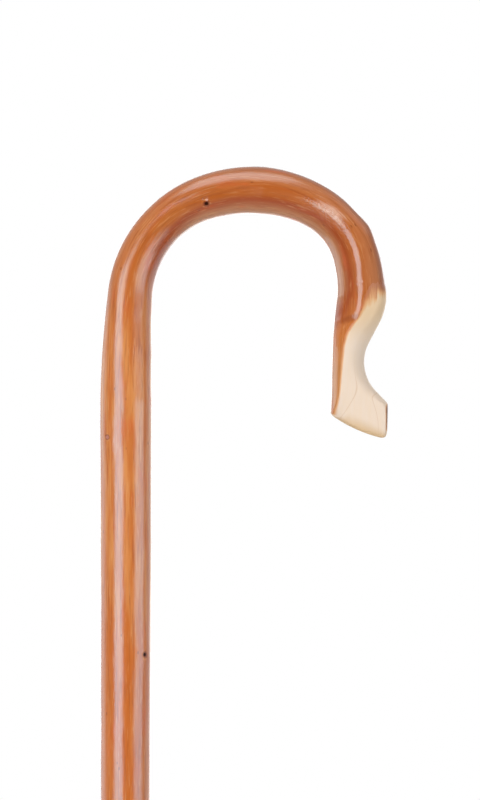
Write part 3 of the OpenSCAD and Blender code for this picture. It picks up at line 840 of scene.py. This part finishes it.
# The camera aims at the middle of the picture, which is 416 mm high there
aim = Vector((0.0595, 0, 1.0983))
view_height = 0.416
camera_distance = 3.0
camera_data = bpy.data.cameras.new("camera")
camera_data.sensor_fit = "VERTICAL"
camera_data.sensor_height = 24
camera_data.lens = camera_data.sensor_height * camera_distance / view_height
camera = bpy.data.objects.new("camera", camera_data)
camera.location = aim + Vector((0, -camera_distance, 0))
camera.rotation_euler = (math.pi / 2, 0, 0)
scene.collection.objects.link(camera)
scene.camera = camera

# Softboxes: the height they face, degrees round to the right and up from the camera, distance, width and
# height, radiance
softboxes = (
    ("left_softbox", 0.98, -31, 0, 1.2, 0.84, 0.84, 5.9),
    ("right_softbox", 0.885, 62, 0, 1.2, 0.98, 0.57, 3.7),
    ("top_softbox", aim.z, -14, 67, 1.2, 0.9, 0.85, 4.0),
    ("high_right_softbox", aim.z, 80, 44, 1.3, 0.8, 0.8, 0.7),
    ("low_left_softbox", 0.3, -38, 0, 1.0, 0.3, 0.5, 3.0),
    ("low_right_softbox", 0.48, 62, 0, 1.2, 0.5, 0.6, 2.2),
    ("left_rim_softbox", 0.7, -120, 0, 1.5, 0.9, 1.2, 1.0),
    ("right_rim_softbox", 0.7, 118, 0, 1.5, 0.9, 1.2, 0.6),
    ("back_softbox", 0.75, 172, 6, 1.6, 1.8, 1.6, 1.8),
)
for name, facing, azimuth, elevation, distance, width, height, radiance in softboxes:
    lamp = bpy.data.lights.new(name, "AREA")
    lamp.shape = "RECTANGLE"
    lamp.size = width
    lamp.size_y = height
    lamp.energy = radiance * math.pi * width * height
    box = bpy.data.objects.new(name, lamp)
    turn = Matrix.Rotation(math.radians(azimuth), 4, "Z")
    turn = turn @ Matrix.Rotation(-math.radians(elevation), 4, "X")
    target = Vector((aim.x, aim.y, facing))
    box.location = target + turn @ Vector((0, -distance, 0))
    box.rotation_euler = (target - box.location).to_track_quat("-Z", "Y").to_euler()
    scene.collection.objects.link(box)

# The background is white to the camera and only a dim fill on the crook. Gloss mirrors it as a backdrop
# that is paler behind the crook than in front of it
world = bpy.data.worlds.new("white_studio")
world.use_nodes = True
tree = world.node_tree
tree.nodes.clear()
path = add(tree, "LightPath").outputs
towards = add(tree, "SeparateXYZ", {0: add(tree, "TexCoord").outputs["Generated"]}).outputs["Y"]
backdrop = add(tree, "MapRange", {0: towards, 1: -0.5, 2: 0.7, 3: 0.12, 4: 0.85}).outputs[0]
shown = {0: path["Is Glossy Ray"], 1: path["Is Transmission Ray"]}
shown = add(tree, "Math", shown, operation="MAXIMUM").outputs[0]
shown = add(tree, "Math", {0: shown, 1: backdrop}, operation="MULTIPLY").outputs[0]
shown = add(tree, "Math", {0: shown, 1: path["Is Camera Ray"]}, operation="MAXIMUM").outputs[0]
level = add(tree, "MapRange", {0: shown, 3: 0.05, 4: 1.0}).outputs[0]
sky = add(tree, "Background", {"Color": (1, 1, 1, 1), "Strength": level})
add(tree, "OutputWorld", {"Surface": sky.outputs[0]})
scene.world = world

# A round sheet of matt white paper, which glows a little to the camera so that it fades into the background
floor_radius = 1.5
floor_bm = bmesh.new()
bmesh.ops.create_circle(floor_bm, cap_ends=True, segments=96, radius=floor_radius)
floor_mesh = bpy.data.meshes.new("floor")
floor_bm.to_mesh(floor_mesh)
floor_bm.free()
floor = bpy.data.objects.new("floor", floor_mesh)
paper, tree = new_material("white_paper_floor")
seen = add(tree, "LightPath").outputs
shine = add(tree, "Math", {0: seen["Is Glossy Ray"], 1: 0.3}, operation="MULTIPLY").outputs[0]
shine = add(tree, "Math", {0: seen["Is Camera Ray"], 1: 0.5, 2: shine}, operation="MULTIPLY_ADD").outputs[0]
surface = add(tree, "BsdfPrincipled", {
    "Base Color": colour("bab9b6"),
    "Roughness": 0.8,
    "Emission Color": colour("f2f1ee"),
    "Emission Strength": shine,
})
add(tree, "OutputMaterial", {"Surface": surface.outputs[0]})
floor_mesh.materials.append(paper)
scene.collection.objects.link(floor)
